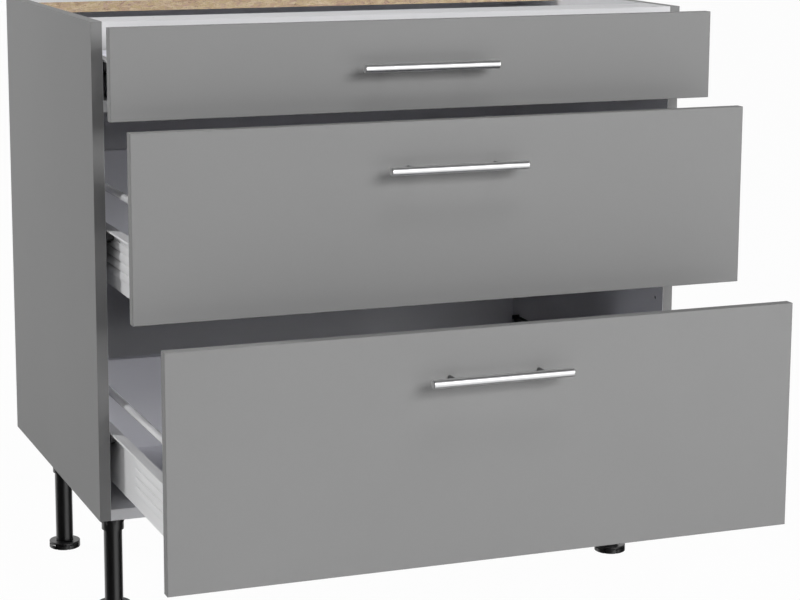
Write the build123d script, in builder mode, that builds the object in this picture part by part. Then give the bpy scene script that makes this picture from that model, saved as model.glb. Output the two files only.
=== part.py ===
from build123d import *
import os

# Base cabinet with three drawers, in millimetres.
# X runs across the cabinet, +Y to its back and +Z up.  The origin is on the floor, at
# the middle of the cabinet's width and of its whole depth with the drawers as they stand.

os.makedirs("parts", exist_ok=True)

# ---- carcass ------------------------------------------------------------------------
cabinet_width = 900.0
cabinet_depth = 560.0
board = 16.0                            # every carcass board, front, floor and back board
row_heights = (128.0, 256.0, 320.0)     # rows of fronts from the top, on a 32 mm grid
front_strip_height = 39.0               # white upright strip under the worktop
front_rail_depth = 59.0                 # flat rail behind the upright strip
middle_rail_depth = 75.0
middle_rail_lift = 4.0                  # rail's underside above the bottom of the top row
rear_rail_depth = 148.0
back_thickness = 3.0
back_inset = 11.0                       # rear edges of the sides to the back panel
groove_depth = 6.0
groove_clearance = 0.1
worktop_hole_radius = 2.5
worktop_hole_margin = 100.0             # from the cabinet's sides
worktop_hole_inset = 30.0               # from each rail's edge, towards the middle

# ---- joints of the carcass ------------------------------------------------------------
cam_radius = 7.4
cam_height = 12.5
cam_setback = 34.0                      # board's end to the cam's centre
cam_bolt_radius = 2.5
cam_bolt_depth = 11.0
cam_clearance = 0.1
bottom_cam_insets = (120.0, 110.0)      # from the carcass's front and rear edges
bottom_dowel_insets = (160.0, 250.0)
rail_cam_inset = 20.0                   # from a rail's front edge
rail_dowel_inset = 20.0                 # from a rail's rear edge
strip_dowel_drop = 27.0                 # below the top of the upright strip
dowel_radius = 4.0
dowel_length = 30.0
dowel_depth = 10.0                      # length of a dowel in the side panel
hole_clearance = 0.1                    # on the radius of screw and dowel holes
hole_overrun = 1.0                      # blind holes past the end of what they hold
spare_hole_radius = 2.5
spare_hole_depth = 10.0
spare_hole_inset = 24.0                 # from the front edge
spare_hole_height = 257.0               # above the carcass's underside

# ---- legs -----------------------------------------------------------------------------
leg_height = 150.0
leg_inset_left = 31.5                   # left side to the axes of the left legs
leg_inset_right = 69.0                  # right side to the axes of the right legs
leg_inset_front = 54.0
leg_inset_rear = 192.0
plate_size = 57.0
plate_corner = 12.5
plate_thickness = 3.5
collar_radius = 16.0
collar_height = 24.5
tube_radius = 13.3
tube_grip = 22.0                        # length of the tube in its collar
stem_radius = 9.5
stem_length = 62.0
stem_clearance = 0.05
pad_radius = 24.0
pad_height = 11.0
pad_disc = 3.0                          # plain upper rim of the pad
pad_notches = 8
pad_notch_width = 3.0
pad_notch_depth = 2.4
pad_gap = 0.3                           # tube's end above the pad
leg_screw_offset = 19.0
leg_screw_length = 13.0

# ---- fronts and handles -----------------------------------------------------------------
front_gap = 3.0
front_edge_radius = 0.8
handle_length = 200.0
handle_radius = 6.0
handle_reach = 30.0                     # front's face to the bar's axis
handle_drop = 62.5                      # front's top edge to the bar's axis
handle_spacing = 128.0
handle_chamfer = 0.6
post_radius = 3.0
handle_screw_radius = 2.0
handle_screw_grip = 10.0                # length of the screw in the post

# ---- drawers ------------------------------------------------------------------------------
drawer_open = (80.0, 180.0, 330.0)      # carcass front to the back of each front
drawer_length = 500.0
side_heights = (54.0, 86.0, 86.0)
side_lifts = (0.0, 11.5, 42.5)          # steel side above the bottom of its row
rail_clearance = 2.0                    # top drawer above the middle rail
back_tops = (54.0, 153.0, 153.0)        # back board's top above the steel side's bottom
steel = 1.2
flange_gap = 1.5                        # side panel to the flange's outer edge
flange_width = 14.5
floor_flange = 15.0                     # steel under the floor board
lip_height = 3.0
rib_first = 24.5                        # lowest rib above the steel side's bottom
rib_pitch = 13.2
rib_width = 6.4
rib_height = 1.2
rib_round = 1.0
rib_reach = 245.0                       # ribs' length from the front
rib_headroom = 10.0

# ---- gallery rails over the two lower drawers --------------------------------------------
gallery_lifts = (0.0, 133.0, 126.0)     # rail's axis above the steel side's bottom, 0 for none
gallery_radius = 5.0
gallery_wall = 1.0
gallery_inset = 5.0                     # steel side's inner face to the rail's axis
socket_radius = 7.5
socket_length = 10.0
socket_floor = 3.0
socket_clearance = 0.05

# ---- runners and rollers ------------------------------------------------------------------
runner_setback = 3.0                    # carcass front to the runner
runner_length = 515.0
runner_web = 41.0                       # web's height, down from the top of the steel side
channel_drop = 3.8                      # top of the steel side to the channel's top
channel_depth = 12.0
channel_start = 24.0                    # carcass front to the channel
stop_length = 10.0
stop_rise = 3.0                         # end stop above the top of the steel side
front_roller_radius = 8.5
front_roller_setback = 14.0
rear_roller_radius = 8.0
rear_roller_place = 405.0               # behind the drawer's front
roller_width = 10.0
roller_inset = 3.1                      # side panel to the rollers' outer faces
roller_clearance = 0.05                 # rollers to their tracks and axles
channel_headroom = 0.4                  # rear roller to the channel's upper flange
axle_radius = 2.5
axle_head_radius = 4.0
axle_head = 0.8
axle_play = 0.2
runner_screw_places = (37.0, 261.0, 485.0)
runner_screw_drop = 33.0                # below the top of the steel side
runner_screw_length = 13.0

# ---- brackets and small screws ------------------------------------------------------------
bracket_thickness = 2.0
bracket_width = 24.0
bracket_length = 40.0
bracket_base = 22.0                     # above the steel side's bottom
bracket_headroom = 8.0
bracket_screw_inset = 14.0              # from the steel side's inner face
bracket_screw_margin = 6.5              # from a bracket's lower and upper ends
screw_radius = 2.0
screw_head_radius = 3.8
screw_head = 1.8
bracket_screw_length = 12.0
back_screw_length = 24.0
back_screws = 4
back_screw_margin = 100.0               # from the back board's ends

# ---- places worked out from the sizes above -----------------------------------------------
drawers = range(len(row_heights))
names = {-1: "left", 1: "right"}
hands = tuple(names)
carcass_height = sum(row_heights)
half_width = cabinet_width / 2
inner = half_width - board              # inner faces of the side panels
reach = max(drawer_open) + board + handle_reach + handle_radius
front_plane = (reach - cabinet_depth) / 2
rear_plane = front_plane + cabinet_depth
base = leg_height                       # carcass's underside
top = base + carcass_height
back_face = rear_plane - back_inset - back_thickness
row_bottoms = [base + sum(row_heights[i + 1:]) for i in drawers]
middle_rail_bottom = row_bottoms[0] + middle_rail_lift
wall_out = flange_gap + flange_width - steel      # panel to the steel wall's outer face
wall_in = flange_gap + flange_width               # panel to the steel wall's inner face
fronts_back = [front_plane - distance for distance in drawer_open]
floor_top = steel + board
handle_heights = [row_bottoms[i] + row_heights[i] - front_gap / 2 - handle_drop for i in drawers]
tube_bore = stem_radius + stem_clearance
tube_bottom = pad_height + pad_gap
leg_places = {
    "front_left": (leg_inset_left - half_width, front_plane + leg_inset_front),
    "front_right": (half_width - leg_inset_right, front_plane + leg_inset_front),
    "rear_left": (leg_inset_left - half_width, rear_plane - leg_inset_rear),
    "rear_right": (half_width - leg_inset_right, rear_plane - leg_inset_rear),
}
AXIS_TURNS = {"X": (0, 90, 0), "Y": (-90, 0, 0), "Z": (0, 0, 0)}


def side_bottom(i):
    """Height of the underside of a drawer's steel sides."""
    if i == 0:
        return middle_rail_bottom + board + rail_clearance
    return row_bottoms[i] + side_lifts[i]


def side_top(i):
    return side_bottom(i) + side_heights[i]


def across(hand, inset):
    """X of a point that lies inset from the side panel's inner face."""
    return hand * (inner - inset)


def block(xs, ys, zs, mode=Mode.ADD):
    """A box between two values on each axis."""
    spans = (xs, ys, zs)
    with Locations(tuple(sum(span) / 2 for span in spans)):
        Box(*(abs(span[1] - span[0]) for span in spans), mode=mode)


def peg(start, axis, radius, length, mode=Mode.ADD):
    """A round bar from a point along an axis, backwards where the length is negative."""
    step = {"X": (length, 0, 0), "Y": (0, length, 0), "Z": (0, 0, length)}[axis]
    middle = tuple(a + b / 2 for a, b in zip(start, step))
    with Locations(Location(middle, AXIS_TURNS[axis])):
        Cylinder(radius, abs(length), mode=mode)


def write(piece, name):
    piece.part.label = name
    export_step(piece.part, f"parts/{name}.step")


# ---- joints between boards and side panels ------------------------------------------------
def board_joints():
    """(kind, y, z of the joint, z of the board's underside) on each side panel."""
    bottom_line = base + board / 2
    joints = [
        ("cam", front_plane + bottom_cam_insets[0], bottom_line, base),
        ("cam", rear_plane - bottom_cam_insets[1], bottom_line, base),
        ("dowel", front_plane + bottom_dowel_insets[0], bottom_line, base),
        ("dowel", rear_plane - bottom_dowel_insets[1], bottom_line, base),
        ("dowel", front_plane + board / 2, top - strip_dowel_drop, top - board),
    ]
    rails = (
        (front_plane + board, front_rail_depth, top - board),
        (front_plane, middle_rail_depth, middle_rail_bottom),
        (back_face - rear_rail_depth, rear_rail_depth, top - board),
    )
    for rail_front, depth, underside in rails:
        line = underside + board / 2
        joints.append(("cam", rail_front + rail_cam_inset, line, underside))
        joints.append(("dowel", rail_front + depth - rail_dowel_inset, line, underside))
    return joints


def cut_board_joints():
    """Bores in a board's ends and underside.  Those that miss the board cut nothing."""
    for kind, y, z, underside in board_joints():
        for hand in hands:
            if kind == "cam":
                peg((hand * inner, y, z), "X", dowel_radius, -hand * cam_setback, Mode.SUBTRACT)
                cam_x = hand * (inner - cam_setback)
                peg((cam_x, y, underside), "Z", cam_radius + cam_clearance,
                    cam_height + cam_clearance, Mode.SUBTRACT)
            else:
                depth = dowel_length - dowel_depth + hole_overrun
                peg((hand * inner, y, z), "X", dowel_radius + hole_clearance, -hand * depth,
                    Mode.SUBTRACT)


# ---- carcass boards --------------------------------------------------------------------------
def make_side_panel(hand):
    with BuildPart() as panel:
        block((hand * inner, hand * half_width), (front_plane, rear_plane), (base, top))
        groove = (back_face - groove_clearance, back_face + back_thickness + groove_clearance)
        block((hand * inner, hand * (inner + groove_depth)), groove, (base, top), Mode.SUBTRACT)
        for kind, y, z, _ in board_joints():
            if kind == "cam":
                radius, depth = cam_bolt_radius, cam_bolt_depth
            else:
                radius, depth = dowel_radius, dowel_depth
            peg((hand * inner, y, z), "X", radius + hole_clearance, hand * (depth + hole_overrun),
                Mode.SUBTRACT)
        for i in drawers:
            for place in runner_screw_places:
                start = (hand * inner, front_plane + place, side_top(i) - runner_screw_drop)
                peg(start, "X", screw_radius + hole_clearance, hand * runner_screw_length, Mode.SUBTRACT)
        spare = (hand * inner, front_plane + spare_hole_inset, base + spare_hole_height)
        peg(spare, "X", spare_hole_radius, hand * spare_hole_depth, Mode.SUBTRACT)
        cut_leg_screw_holes()
    write(panel, f"side_panel_{names[hand]}")


def cut_leg_screw_holes():
    for x, y in leg_places.values():
        for dx in hands:
            for dy in hands:
                place = (x + dx * leg_screw_offset, y + dy * leg_screw_offset, base)
                peg(place, "Z", screw_radius + hole_clearance, leg_screw_length, Mode.SUBTRACT)


def make_carcass_board(name, ys, zs):
    """A board that spans the two side panels."""
    with BuildPart() as piece:
        block((-inner, inner), ys, zs)
        cut_board_joints()
        if name == "bottom_panel":
            cut_leg_screw_holes()
        if name in ("front_rail", "rear_rail"):
            near_front = name == "front_rail"
            hole_y = ys[0] + worktop_hole_inset if near_front else ys[1] - worktop_hole_inset
            for hand in hands:
                place = (hand * (half_width - worktop_hole_margin), hole_y, zs[0])
                peg(place, "Z", worktop_hole_radius, board, Mode.SUBTRACT)
    write(piece, name)


def make_back_panel():
    edge = inner + groove_depth - groove_clearance
    with BuildPart() as panel:
        block((-edge, edge), (back_face, back_face + back_thickness), (base, top))
    write(panel, "back_panel")


def make_carcass():
    for hand in hands:
        make_side_panel(hand)
    strip_back = front_plane + board
    make_carcass_board("bottom_panel", (front_plane, back_face), (base, base + board))
    make_carcass_board("front_strip", (front_plane, strip_back), (top - front_strip_height, top))
    make_carcass_board("front_rail", (strip_back, strip_back + front_rail_depth), (top - board, top))
    make_carcass_board("middle_rail", (front_plane, front_plane + middle_rail_depth),
                       (middle_rail_bottom, middle_rail_bottom + board))
    make_carcass_board("rear_rail", (back_face - rear_rail_depth, back_face), (top - board, top))
    make_back_panel()


def make_carcass_fittings():
    """Cams, their bolts and dowels, each kind as one group."""
    with BuildPart() as cams:
        for kind, y, z, underside in board_joints():
            for hand in hands:
                if kind == "cam":
                    x = hand * (inner - cam_setback)
                    peg((x, y, underside), "Z", cam_radius, cam_height)
                    peg((x, y, z), "X", cam_bolt_radius + 2 * hole_clearance,
                        hand * (cam_radius + hole_overrun), Mode.SUBTRACT)
    write(cams, "cam_locks")
    with BuildPart() as bolts:
        for kind, y, z, _ in board_joints():
            for hand in hands:
                if kind == "cam":
                    length = cam_bolt_depth + cam_setback
                    peg((hand * (inner + cam_bolt_depth), y, z), "X", cam_bolt_radius, -hand * length)
    write(bolts, "cam_bolts")
    with BuildPart() as dowels:
        for kind, y, z, _ in board_joints():
            for hand in hands:
                if kind == "dowel":
                    peg((hand * (inner + dowel_depth), y, z), "X", dowel_radius, -hand * dowel_length)
    write(dowels, "dowels")


# ---- legs ----------------------------------------------------------------------------------
def make_leg_sockets():
    with BuildPart() as sockets:
        for x, y in leg_places.values():
            with BuildSketch(Plane.XY.offset(base - plate_thickness)):
                with Locations((x, y)):
                    outline = Rectangle(plate_size, plate_size)
                chamfer(outline.vertices(), plate_corner)
            extrude(amount=plate_thickness)
            peg((x, y, base - plate_thickness), "Z", collar_radius, -collar_height)
            peg((x, y, base - plate_thickness - collar_height), "Z", tube_radius + hole_clearance,
                tube_grip, Mode.SUBTRACT)
            for dx in hands:
                for dy in hands:
                    place = (x + dx * leg_screw_offset, y + dy * leg_screw_offset, base)
                    peg(place, "Z", screw_radius + hole_clearance, -plate_thickness, Mode.SUBTRACT)
    write(sockets, "leg_sockets")


def make_leg_tubes():
    tube_top = base - plate_thickness - collar_height + tube_grip
    with BuildPart() as tubes:
        for x, y in leg_places.values():
            peg((x, y, tube_bottom), "Z", tube_radius, tube_top - tube_bottom)
            peg((x, y, tube_bottom), "Z", tube_bore, tube_top - tube_bottom, Mode.SUBTRACT)
    write(tubes, "leg_tubes")


def make_leg_screws():
    with BuildPart() as screws:
        for x, y in leg_places.values():
            for dx in hands:
                for dy in hands:
                    place = (x + dx * leg_screw_offset, y + dy * leg_screw_offset)
                    under = base - plate_thickness
                    peg((*place, under - screw_head), "Z", screw_head_radius, screw_head)
                    peg((*place, under), "Z", screw_radius, leg_screw_length)
    write(screws, "leg_screws")


def make_foot(name):
    """Foot with its notched pad.  Its stem turns in the leg's tube."""
    x, y = leg_places[name]
    with BuildPart() as foot:
        peg((x, y, 0), "Z", pad_radius, pad_height)
        peg((x, y, pad_height), "Z", stem_radius, stem_length)
        with BuildSketch(Plane.XY):
            with Locations((x, y)):
                with PolarLocations(pad_radius, pad_notches):
                    Rectangle(2 * pad_notch_depth, pad_notch_width)
        extrude(amount=pad_height - pad_disc, mode=Mode.SUBTRACT)
    write(foot, f"foot_{name}")


# ---- runners on the carcass ----------------------------------------------------------------
def make_runners(i):
    """The pair of channels that carry a drawer, each with the axle of its front roller."""
    crown = side_top(i)
    track_top = crown - channel_drop - steel
    track_bottom = track_top - channel_headroom - 2 * rear_roller_radius - roller_clearance
    roller_z = crown - steel - roller_clearance - front_roller_radius
    start, end = front_plane + runner_setback, front_plane + runner_setback + runner_length
    with BuildPart() as runners:
        for hand in hands:
            web = (across(hand, 0), across(hand, steel))
            flange = (across(hand, steel), across(hand, steel + channel_depth))
            block(web, (start, end), (crown - runner_web, crown))
            for z in (track_top, track_bottom - steel):
                block(flange, (front_plane + channel_start, end), (z, z + steel))
            axle = (across(hand, steel), front_plane + front_roller_setback, roller_z)
            make_axle(axle, -hand, roller_inset - axle_play - steel)
            for place in runner_screw_places:
                hole = (across(hand, 0), front_plane + place, crown - runner_screw_drop)
                peg(hole, "X", screw_radius + hole_clearance, -hand * steel, Mode.SUBTRACT)
    write(runners, f"runners_{i + 1}")


def make_axle(start, way, collar_length):
    """Axle along X with a collar at its root and a riveted head inside the roller's end."""
    x, y, z = start
    peg(start, "X", axle_head_radius, way * collar_length)
    length = collar_length + axle_play + roller_width
    peg(start, "X", axle_radius, way * length)
    peg((x + way * length, y, z), "X", axle_head_radius, -way * axle_head)


def make_rollers(name, radius, y, z, bored_end):
    """A pair of rollers.  bored_end is +1 where the axle's head faces the drawer."""
    with BuildPart() as rollers:
        for hand in hands:
            outer = across(hand, roller_inset)
            peg((outer, y, z), "X", radius, -hand * roller_width)
            peg((outer, y, z), "X", axle_radius + roller_clearance, -hand * roller_width, Mode.SUBTRACT)
            face = outer if bored_end < 0 else across(hand, roller_inset + roller_width)
            way = -hand if bored_end < 0 else hand
            peg((face, y, z), "X", axle_head_radius + axle_play, way * (axle_head + axle_play),
                Mode.SUBTRACT)
    write(rollers, name)


def make_runner_screws():
    with BuildPart() as screws:
        for i in drawers:
            for hand in hands:
                for place in runner_screw_places:
                    y, z = front_plane + place, side_top(i) - runner_screw_drop
                    peg((across(hand, steel), y, z), "X", screw_head_radius, -hand * screw_head)
                    peg((across(hand, steel), y, z), "X", screw_radius, hand * runner_screw_length)
    write(screws, "runner_screws")


def make_end_stops():
    """Black plastic stops that close the runners' rear ends."""
    end = front_plane + runner_setback + runner_length
    with BuildPart() as stops:
        for i in drawers:
            crown = side_top(i)
            track_top = crown - channel_drop - steel
            track_bottom = track_top - channel_headroom - 2 * rear_roller_radius - roller_clearance
            for hand in hands:
                inside = (across(hand, steel), across(hand, steel + channel_depth))
                block(inside, (end - stop_length, end), (track_bottom, track_top))
                cap = (across(hand, 0), across(hand, steel + channel_depth))
                block(cap, (end, end + bracket_thickness), (track_bottom - steel, crown + stop_rise))
    write(stops, "runner_end_stops")


# ---- drawers -------------------------------------------------------------------------------
def make_drawer_side(i, hand):
    """Ribbed steel side: a wall, a flange with a lip over the runner and one under the floor."""
    low, height = side_bottom(i), side_heights[i]
    crown = low + height
    outline = [
        (flange_gap, crown - lip_height), (flange_gap, crown), (wall_in, crown),
        (wall_in, low + steel), (wall_in + floor_flange, low + steel),
        (wall_in + floor_flange, low), (wall_out, low), (wall_out, crown - steel),
        (flange_gap + steel, crown - steel), (flange_gap + steel, crown - lip_height),
    ]
    ribs = int((height - rib_first - rib_headroom) // rib_pitch) + 1
    rib_face = across(hand, wall_out - rib_height)
    with BuildPart() as side:
        with BuildSketch(Plane.XZ.offset(-fronts_back[i])):
            with BuildLine():
                Polyline(*((across(hand, inset), z) for inset, z in outline), close=True)
            make_face()
        extrude(amount=-drawer_length)
        with BuildSketch(Plane.YZ.offset(across(hand, wall_out))):
            for k in range(ribs):
                with Locations((fronts_back[i] + rib_reach / 2, low + rib_first + k * rib_pitch)):
                    SlotOverall(rib_reach, rib_width)
        extrude(amount=hand * rib_height)
        rims = side.edges().filter_by_position(Axis.X, rib_face - 0.01, rib_face + 0.01)
        fillet(rims, rib_round)
        axle = (across(hand, wall_out), fronts_back[i] + rear_roller_place, rear_roller_height(i))
        make_axle(axle, hand, wall_out - roller_inset - roller_width - axle_play)
    write(side, f"drawer_{i + 1}_side_{names[hand]}")


def rear_roller_height(i):
    return side_top(i) - channel_drop - steel - channel_headroom - rear_roller_radius


def make_drawer_boards(i):
    low, rear = side_bottom(i), fronts_back[i] + drawer_length
    edge = inner - wall_in
    with BuildPart() as floor:
        block((-edge, edge), (fronts_back[i], rear), (low + steel, low + floor_top))
        for x in back_screw_line():
            peg((x, rear - board / 2, low + steel), "Z", screw_radius + hole_clearance, board,
                Mode.SUBTRACT)
            peg((x, rear - board / 2, low + steel), "Z", screw_head_radius + hole_clearance,
                screw_head, Mode.SUBTRACT)
    write(floor, f"drawer_{i + 1}_floor")
    with BuildPart() as back:
        block((-edge, edge), (rear - board, rear), (low + floor_top, low + back_tops[i]))
        for x in back_screw_line():
            peg((x, rear - board / 2, low + floor_top), "Z", screw_radius + hole_clearance,
                back_screw_length - board + hole_overrun, Mode.SUBTRACT)
        for hand in hands:
            for z in bracket_screw_heights(i):
                place = (across(hand, wall_in + bracket_screw_inset), rear, z)
                peg(place, "Y", screw_radius + hole_clearance, -bracket_screw_length, Mode.SUBTRACT)
    write(back, f"drawer_{i + 1}_back")


def back_screw_line():
    """X of the screws that hold a back board, evenly spaced along the floor's rear edge."""
    edge = inner - wall_in - back_screw_margin
    return [-edge + 2 * edge * k / (back_screws - 1) for k in range(back_screws)]


def bracket_screw_heights(i):
    low, high = side_bottom(i) + bracket_base, side_top(i) - bracket_headroom
    return (low + bracket_screw_margin, high - bracket_screw_margin)


def make_front(i):
    low = row_bottoms[i] + front_gap / 2
    high = row_bottoms[i] + row_heights[i] - front_gap / 2
    edge = half_width - front_gap / 2
    back, face = fronts_back[i], fronts_back[i] - board
    with BuildPart() as front:
        block((-edge, edge), (face, back), (low, high))
        fillet(front.faces().sort_by(Axis.Y)[0].edges(), front_edge_radius)
        for hand in hands:
            peg((hand * handle_spacing / 2, face, handle_heights[i]), "Y",
                handle_screw_radius + 2 * hole_clearance, board, Mode.SUBTRACT)
            for z in bracket_screw_heights(i):
                place = (across(hand, wall_in + bracket_screw_inset), back, z)
                peg(place, "Y", screw_radius + hole_clearance, -bracket_screw_length, Mode.SUBTRACT)
    write(front, f"drawer_{i + 1}_front")


def make_brackets(i):
    """Angles that hold the steel sides to the front and to the back board."""
    low, high = side_bottom(i) + bracket_base, side_top(i) - bracket_headroom
    front, rear = fronts_back[i], fronts_back[i] + drawer_length
    with BuildPart() as brackets:
        for hand in hands:
            arm = (across(hand, wall_in), across(hand, wall_in + bracket_width))
            leg = (across(hand, wall_in), across(hand, wall_in + bracket_thickness))
            block(arm, (front, front + bracket_thickness), (low, high))
            block(leg, (front, front + bracket_length), (low, high))
            plate = (across(hand, wall_out), across(hand, wall_in + bracket_width))
            block(plate, (rear, rear + bracket_thickness), (low, high))
            x = across(hand, wall_in + bracket_screw_inset)
            for z in bracket_screw_heights(i):
                for y in (front, rear):
                    peg((x, y, z), "Y", screw_radius + hole_clearance, bracket_thickness,
                        Mode.SUBTRACT)
    write(brackets, f"drawer_{i + 1}_brackets")


def make_drawer_screws(i):
    """Screws of the brackets, the back board and the handle."""
    front, rear = fronts_back[i], fronts_back[i] + drawer_length
    with BuildPart() as screws:
        for hand in hands:
            x = across(hand, wall_in + bracket_screw_inset)
            for z in bracket_screw_heights(i):
                for y in (front + bracket_thickness, rear + bracket_thickness):
                    peg((x, y, z), "Y", screw_head_radius, screw_head)
                    peg((x, y, z), "Y", screw_radius, -bracket_screw_length)
            x = hand * handle_spacing / 2
            z = handle_heights[i]
            peg((x, front, z), "Y", 2 * handle_screw_radius, screw_head)
            peg((x, front, z), "Y", handle_screw_radius, -(board + handle_screw_grip))
        for x in back_screw_line():
            peg((x, rear - board / 2, side_bottom(i) + steel), "Z", screw_head_radius, screw_head)
            peg((x, rear - board / 2, side_bottom(i) + steel), "Z", screw_radius, back_screw_length)
    write(screws, f"drawer_{i + 1}_screws")


def make_handle(i):
    face, z = fronts_back[i] - board, handle_heights[i]
    axis_y = face - handle_reach
    with BuildPart() as bar:
        peg((-handle_length / 2, axis_y, z), "X", handle_radius, handle_length)
        chamfer(bar.edges().filter_by(GeomType.CIRCLE), handle_chamfer)
    write(bar, f"drawer_{i + 1}_handle_bar")
    with BuildPart() as posts:
        for hand in hands:
            x = hand * handle_spacing / 2
            peg((x, face, z), "Y", post_radius, -handle_reach)
            peg((x, face, z), "Y", handle_screw_radius + hole_clearance / 2,
                -handle_screw_grip - hole_overrun, Mode.SUBTRACT)
        peg((-handle_length / 2, axis_y, z), "X", handle_radius, handle_length, Mode.SUBTRACT)
    write(posts, f"drawer_{i + 1}_handle_posts")


def make_gallery(i):
    """Rails beside the drawer's load, and the sockets that hold their ends."""
    z = side_bottom(i) + gallery_lifts[i]
    front, rear = fronts_back[i], fronts_back[i] + drawer_length - board
    with BuildPart() as rails:
        for hand in hands:
            start = (across(hand, wall_in + gallery_inset), front + socket_floor, z)
            length = rear - front - 2 * socket_floor
            peg(start, "Y", gallery_radius, length)
            peg(start, "Y", gallery_radius - gallery_wall, length, Mode.SUBTRACT)
    write(rails, f"drawer_{i + 1}_gallery_rails")
    with BuildPart() as sockets:
        for hand in hands:
            x = across(hand, wall_in + gallery_inset)
            for y, way in ((front, 1), (rear, -1)):
                peg((x, y, z), "Y", socket_radius, way * socket_length)
                peg((x, y + way * socket_floor, z), "Y", gallery_radius + socket_clearance,
                    way * (socket_length - socket_floor), Mode.SUBTRACT)
    write(sockets, f"drawer_{i + 1}_gallery_sockets")


def make_drawer(i):
    make_front(i)
    for hand in hands:
        make_drawer_side(i, hand)
    make_drawer_boards(i)
    make_brackets(i)
    make_drawer_screws(i)
    make_handle(i)
    if gallery_lifts[i]:
        make_gallery(i)
    front_roller_height = side_top(i) - steel - roller_clearance - front_roller_radius
    make_rollers(f"front_rollers_{i + 1}", front_roller_radius, front_plane + front_roller_setback,
                 front_roller_height, 1)
    make_rollers(f"rear_rollers_{i + 1}", rear_roller_radius, fronts_back[i] + rear_roller_place,
                 rear_roller_height(i), -1)


make_carcass()
make_carcass_fittings()
make_leg_sockets()
make_leg_tubes()
make_leg_screws()
for leg in leg_places:
    make_foot(leg)
for i in drawers:
    make_runners(i)
make_runner_screws()
make_end_stops()
for i in drawers:
    make_drawer(i)
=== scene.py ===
# %% [markdown]
# # A base cabinet with three drawers
# The measured model comes from CAD as a fixed frame: every board, steel side and screw already has
# its size and place. This lesson gives the cabinet its looks: the finishes of its boards and metal
# parts, the small pieces that repeat, a photographer's studio and the camera.
# The frame is loaded first.

# %% Load the fixed frame
import math

import bmesh
import bpy
from mathutils import Matrix, Vector


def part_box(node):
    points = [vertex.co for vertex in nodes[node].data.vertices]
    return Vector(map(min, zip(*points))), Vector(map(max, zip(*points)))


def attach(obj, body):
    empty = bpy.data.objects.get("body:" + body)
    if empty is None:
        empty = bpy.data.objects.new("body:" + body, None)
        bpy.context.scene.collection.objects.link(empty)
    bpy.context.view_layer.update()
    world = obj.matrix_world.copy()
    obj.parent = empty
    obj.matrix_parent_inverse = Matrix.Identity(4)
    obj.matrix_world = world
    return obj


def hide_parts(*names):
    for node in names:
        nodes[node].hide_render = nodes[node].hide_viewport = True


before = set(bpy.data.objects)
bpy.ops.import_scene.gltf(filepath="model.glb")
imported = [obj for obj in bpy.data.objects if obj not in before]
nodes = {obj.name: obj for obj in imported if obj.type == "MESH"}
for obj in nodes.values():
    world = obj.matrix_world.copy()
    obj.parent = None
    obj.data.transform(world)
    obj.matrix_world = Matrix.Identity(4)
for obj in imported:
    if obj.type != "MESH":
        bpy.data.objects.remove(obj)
scene = bpy.context.scene
scene.view_settings.view_transform = "Standard"
mm = 0.001
drawers, railed_drawers = (1, 2, 3), (2, 3)        # the lower two have gallery rails


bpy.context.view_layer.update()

# %% [markdown]
# ## The camera
# A product photographer stands a few metres away with a long lens, so that the cabinet's upright
# edges stay nearly parallel. The camera is turned towards the cabinet and looks down a little.
# The picture is a crop of a larger one, so its middle isn't where the lens points: the shift
# says how far off it is, as a share of the picture's width.

# %% Put the camera in its place
picture_width, picture_height = 800, 600
focal_pixels = 2207.26
aimed_at = (348.859, 242.584)            # the pixel that the lens points at
stand_at = (-1.16038, -3.01970, 1.08287)
turned, tipped, rolled = (math.radians(angle) for angle in (20.2963, 10.0794, 0.0367))

lens_data = bpy.data.cameras.new("product_camera")
lens_data.sensor_width = 36.0
lens_data.lens = focal_pixels * lens_data.sensor_width / picture_width
lens_data.shift_x = (picture_width / 2 - aimed_at[0]) / picture_width
lens_data.shift_y = (aimed_at[1] - picture_height / 2) / picture_width
camera = bpy.data.objects.new("product_camera", lens_data)
scene.collection.objects.link(camera)
camera.matrix_world = (
    Matrix.Translation(stand_at)
    @ Matrix.Rotation(-turned, 4, "Z")
    @ Matrix.Rotation(math.pi / 2 - tipped, 4, "X")
    @ Matrix.Rotation(rolled, 4, "Z")
)
scene.camera = camera
print(f"lens {lens_data.lens:.1f} mm, shift {lens_data.shift_x:.3f} and {lens_data.shift_y:.3f}")

# %% [markdown]
# ## Writing finishes as sums
# A finish is a small network of nodes. Drawn by hand it is a web of wires, so here a wire is
# a Python value: adding or multiplying two wires adds the Math node that does it. Any other node
# comes from one method, which sets the node's own settings first and then its sockets. The step
# between two values has a method too, because nearly every finish uses it.

# %% A wire that can be added and multiplied
class Wire:
    """One output of a node, used like a number."""

    def __init__(self, recipe, socket):
        self.recipe, self.socket = recipe, socket

    def of(self, name):
        """Another output of the same node."""
        named = (s for s in self.socket.node.outputs if s.name == name and s.enabled)
        return Wire(self.recipe, next(named))

    def sum(self, operation, first, second):
        return self.recipe.node("ShaderNodeMath", {"operation": operation}, {0: first, 1: second})

    def __add__(self, other):
        return self.sum("ADD", self, other)

    __radd__ = __add__

    def __sub__(self, other):
        return self.sum("SUBTRACT", self, other)

    def __rsub__(self, other):
        return self.sum("SUBTRACT", other, self)

    def __mul__(self, other):
        return self.sum("MULTIPLY", self, other)

    __rmul__ = __mul__

    def __truediv__(self, other):
        return self.sum("DIVIDE", self, other)

    def __gt__(self, other):
        return self.sum("GREATER_THAN", self, other)

    def __lt__(self, other):
        return self.sum("LESS_THAN", self, other)

    def __abs__(self):
        return self.sum("ABSOLUTE", self, 0.0)

    def root(self):
        return self.sum("SQRT", self, 0.0)

    def least(self, other):
        return self.sum("MINIMUM", self, other)

    def most(self, other):
        return self.sum("MAXIMUM", self, other)


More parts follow.
